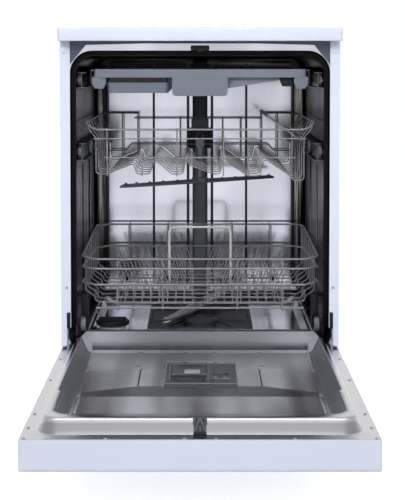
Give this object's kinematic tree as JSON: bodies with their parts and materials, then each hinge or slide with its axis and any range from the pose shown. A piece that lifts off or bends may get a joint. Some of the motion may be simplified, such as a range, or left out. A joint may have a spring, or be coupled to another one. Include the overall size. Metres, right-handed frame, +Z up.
{
  "type": "freestanding dishwasher",
  "caption": "Freestanding dishwasher with a drop-down door, sliding wire racks, a cutlery tray, turning spray arms and a steel tub.",
  "frame": {"origin": "on the floor, under the middle of the machine with its door lying open", "axes": "+X to the user's right, +Y from the open door to the rear wall, +Z up"},
  "size_m": [0.598, 1.18, 0.845],
  "materials": {
    "white_panel": "smooth white enamel",
    "worktop_board": "white laminate",
    "white_plastic": "satin white",
    "stainless": "brushed",
    "galvanised": "blue grey coat",
    "zinc": "zinc plated",
    "coated_wire": "grey nylon coat",
    "black_rubber": "matt",
    "dark_plastic": "matt",
    "slate_plastic": "satin",
    "grey_plastic": "satin",
    "light_plastic": "satin",
    "window": "smoked",
    "circuit": "lacquered"
  },
  "bodies": {
    "cabinet": {"worktop": "worktop_board", "side_panels": "white_panel", "rear_panel": "galvanised", "levelling_feet": "dark_plastic", "base_tray": "dark_plastic", "plinth": "white_plastic", "tub": "stainless", "front_frame": "galvanised", "door_seal": "black_rubber", "latch_striker": "dark_plastic", "sump": "dark_plastic", "filter_plate": "grey_plastic", "softener": "light_plastic", "pumps": "dark_plastic", "inlet_valve": "dark_plastic", "air_break": "light_plastic", "feed_duct": "dark_plastic", "hinge_brackets": "zinc", "flange_trims": "dark_plastic", "panel_screws": "zinc", "rail_axles": "zinc"},
    "door": {"door_skin": "white_panel", "door_liner": "stainless", "control_panel": "white_plastic", "door_latch": "dark_plastic", "dispenser_body": "grey_plastic", "display_window": "window", "control_board": "circuit", "hinge_arms": "zinc", "liner_screws": "stainless"},
    "filter_cup": {"filter_cup": "grey_plastic"},
    "salt_cap": {"salt_cap": "dark_plastic"},
    "lower_arm": {"lower_arm": "stainless"},
    "detergent_lid": {"detergent_lid": "grey_plastic"},
    "rinse_flap": {"rinse_flap": "grey_plastic"},
    "power_button": {"power_button": "white_plastic"},
    "program_button": {"program_button": "white_plastic"},
    "start_button": {"start_button": "white_plastic"},
    "lower_rack": {"lower_basket": "coated_wire", "plate_prongs": "coated_wire", "wheel_clips": "dark_plastic", "lower_handle": "light_plastic"},
    "folding_tines": {"folding_tines": "coated_wire"},
    "lower_wheels_front": {"lower_wheels_front": "grey_plastic"},
    "lower_wheels_rear": {"lower_wheels_rear": "grey_plastic"},
    "upper_rack": {"upper_basket": "coated_wire", "basket_stays": "coated_wire", "spray_manifold": "slate_plastic"},
    "upper_arm": {"upper_arm": "slate_plastic"},
    "cup_shelf": {"cup_shelf": "grey_plastic"},
    "upper_wheels_front": {"upper_wheels_front": "grey_plastic"},
    "upper_wheels_rear": {"upper_wheels_rear": "grey_plastic"},
    "upper_rails": {"upper_rails": "zinc"},
    "upper_rollers_front": {"upper_rollers_front": "grey_plastic"},
    "upper_rollers_rear": {"upper_rollers_rear": "grey_plastic"},
    "tray_rack": {"tray": "grey_plastic", "tray_frame": "coated_wire"},
    "tray_wheels": {"tray_wheels": "grey_plastic"},
    "tray_rails": {"tray_rails": "zinc"},
    "tray_rollers": {"tray_rollers": "grey_plastic"}
  },
  "joints": [
    {"name": "door_hinge", "type": "hinge", "parent": "cabinet", "child": "door", "pos_m": [0, 0.056, 0.168], "axis": [-1, 0, 0], "range_deg": [0, 90]},
    {"name": "lower_rack_slide", "type": "slide", "parent": "cabinet", "child": "lower_rack", "axis": [0, 1, 0], "range_m": [-0.45, 0]},
    {"name": "upper_rack_slide", "type": "slide", "parent": "cabinet", "child": "upper_rack", "axis": [0, 1, 0], "range_m": [-0.45, 0]},
    {"name": "upper_rail_slide", "type": "slide", "parent": "cabinet", "child": "upper_rails", "axis": [0, 1, 0], "range_m": [-0.3005, 0]},
    {"name": "tray_slide", "type": "slide", "parent": "cabinet", "child": "tray_rack", "axis": [0, 1, 0], "range_m": [-0.42, 0]},
    {"name": "tray_rail_slide", "type": "slide", "parent": "cabinet", "child": "tray_rails", "axis": [0, 1, 0], "range_m": [-0.2805, 0]},
    {"name": "lower_front_wheel_roll", "type": "hinge", "parent": "lower_rack", "child": "lower_wheels_front", "pos_m": [0, 0.12257, 0.1953], "axis": [1, 0, 0], "range_deg": [0, 1517.2]},
    {"name": "lower_rear_wheel_roll", "type": "hinge", "parent": "lower_rack", "child": "lower_wheels_rear", "pos_m": [0, 0.4707, 0.1953], "axis": [1, 0, 0], "range_deg": [0, 1517.2]},
    {"name": "upper_front_wheel_roll", "type": "hinge", "parent": "upper_rack", "child": "upper_wheels_front", "pos_m": [0, 0.275, 0.5765], "axis": [1, 0, 0], "range_deg": [0, 506.1]},
    {"name": "upper_rear_wheel_roll", "type": "hinge", "parent": "upper_rack", "child": "upper_wheels_rear", "pos_m": [0, 0.51, 0.5765], "axis": [1, 0, 0], "range_deg": [0, 506.1]},
    {"name": "upper_front_roller_roll", "type": "hinge", "parent": "cabinet", "child": "upper_rollers_front", "pos_m": [0, 0.125, 0.5765], "axis": [1, 0, 0], "range_deg": [0, 1011.6]},
    {"name": "upper_rear_roller_roll", "type": "hinge", "parent": "cabinet", "child": "upper_rollers_rear", "pos_m": [0, 0.203, 0.5765], "axis": [1, 0, 0], "range_deg": [0, 1011.6]},
    {"name": "tray_wheel_roll", "type": "hinge", "parent": "tray_rack", "child": "tray_wheels", "pos_m": [0, 0.51, 0.733], "axis": [1, 0, 0], "range_deg": [0, 535.3]},
    {"name": "tray_roller_roll", "type": "hinge", "parent": "cabinet", "child": "tray_rollers", "pos_m": [0, 0.125, 0.733], "axis": [1, 0, 0], "range_deg": [0, 1070]},
    {"name": "lower_arm_spin", "type": "hinge", "parent": "cabinet", "child": "lower_arm", "pos_m": [0, 0.3165, 0.197], "axis": [0, 0, 1], "continuous": true},
    {"name": "upper_arm_spin", "type": "hinge", "parent": "upper_rack", "child": "upper_arm", "pos_m": [0, 0.3165, 0.488], "axis": [0, 0, 1], "continuous": true},
    {"name": "folding_tines_hinge", "type": "hinge", "parent": "lower_rack", "child": "folding_tines", "pos_m": [0, 0.44583, 0.2405], "axis": [-1, 0, 0], "range_deg": [0, 80]},
    {"name": "cup_shelf_fold", "type": "hinge", "parent": "upper_rack", "child": "cup_shelf", "pos_m": [0.222, 0.3165, 0.6], "axis": [0, 1, 0], "range_deg": [-33, 50]},
    {"name": "detergent_lid_slide", "type": "slide", "parent": "door", "child": "detergent_lid", "axis": [0, 1, 0], "range_m": [-0.052, 0]},
    {"name": "rinse_flap_hinge", "type": "hinge", "parent": "door", "child": "rinse_flap", "pos_m": [0.04, -0.14, 0.1522], "axis": [1, 0, 0], "range_deg": [-85, 0]},
    {"name": "power_button_press", "type": "slide", "parent": "door", "child": "power_button", "axis": [0, 0, 1], "range_m": [0, 0.0015], "stiffness_N_per_m": 600},
    {"name": "program_button_press", "type": "slide", "parent": "door", "child": "program_button", "axis": [0, 0, 1], "range_m": [0, 0.0015], "stiffness_N_per_m": 600},
    {"name": "start_button_press", "type": "slide", "parent": "door", "child": "start_button", "axis": [0, 0, 1], "range_m": [0, 0.0015], "stiffness_N_per_m": 600},
    {"name": "salt_cap_turn", "type": "hinge", "parent": "cabinet", "child": "salt_cap", "pos_m": [-0.198, 0.198, 0.178], "axis": [0, 0, 1], "range_deg": [0, 540]},
    {"name": "filter_cup_turn", "type": "hinge", "parent": "cabinet", "child": "filter_cup", "pos_m": [0, 0.2165, 0.169], "axis": [0, 0, 1], "range_deg": [0, 60]}
  ],
  "couplings": [
    {"joint": "upper_rail_slide", "follows": "upper_rack_slide", "ratio": 0.66667},
    {"joint": "tray_rail_slide", "follows": "tray_slide", "ratio": 0.66667},
    {"joint": "lower_front_wheel_roll", "follows": "lower_rack_slide", "rad_per_m": -58.824},
    {"joint": "lower_rear_wheel_roll", "follows": "lower_rack_slide", "rad_per_m": -58.824},
    {"joint": "upper_front_wheel_roll", "follows": "upper_rack_slide", "rad_per_m": -19.608},
    {"joint": "upper_rear_wheel_roll", "follows": "upper_rack_slide", "rad_per_m": -19.608},
    {"joint": "upper_front_roller_roll", "follows": "upper_rack_slide", "rad_per_m": -39.216},
    {"joint": "upper_rear_roller_roll", "follows": "upper_rack_slide", "rad_per_m": -39.216},
    {"joint": "tray_wheel_roll", "follows": "tray_slide", "rad_per_m": -22.222},
    {"joint": "tray_roller_roll", "follows": "tray_slide", "rad_per_m": -44.444}
  ]
}
